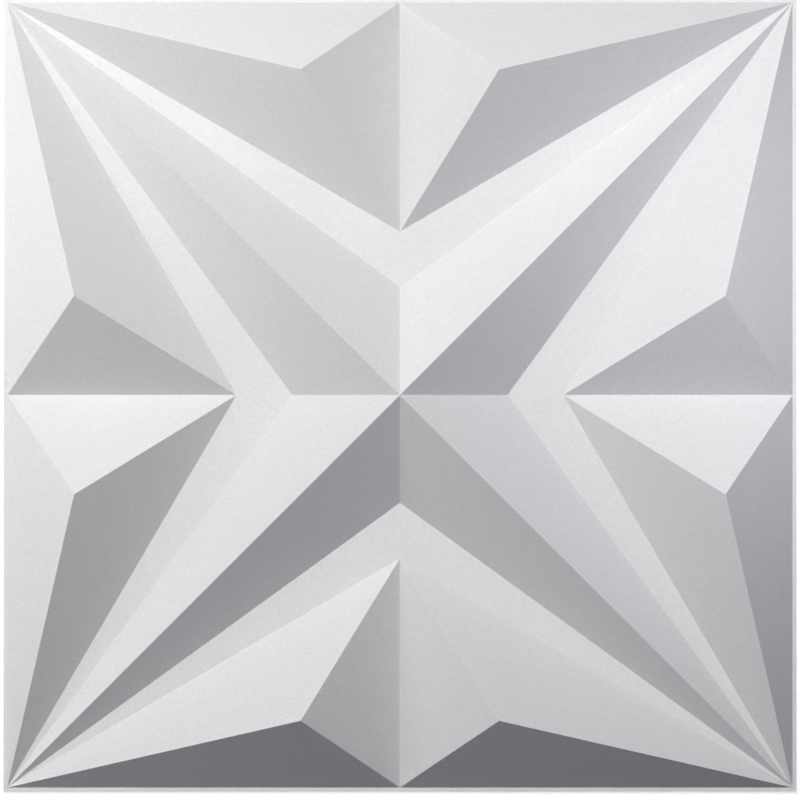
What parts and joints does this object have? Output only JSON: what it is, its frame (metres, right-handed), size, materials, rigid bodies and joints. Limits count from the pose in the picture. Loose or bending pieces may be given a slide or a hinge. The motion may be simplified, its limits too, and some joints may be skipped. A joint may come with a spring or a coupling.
{
  "type": "3d wall panel tile",
  "caption": "Square thermoformed relief tile: a faceted four-pointed star between paired peaks on a flat ground, with a thin flat rim and hollow back, glued to a wall edge to edge.",
  "frame": {"origin": "middle of the tile on the plane of its back, which lies on the floor or against the wall", "axes": "+Z out of the wall, from the back to the relief; +X to the right and +Y up as the tile hangs, both square to its edges"},
  "size_m": [0.5, 0.5, 0.03],
  "materials": {
    "panel": "matte white PVC sheet with a very fine even grain"
  },
  "bodies": {
    "root": {"panel": "panel"}
  },
  "joints": []
}
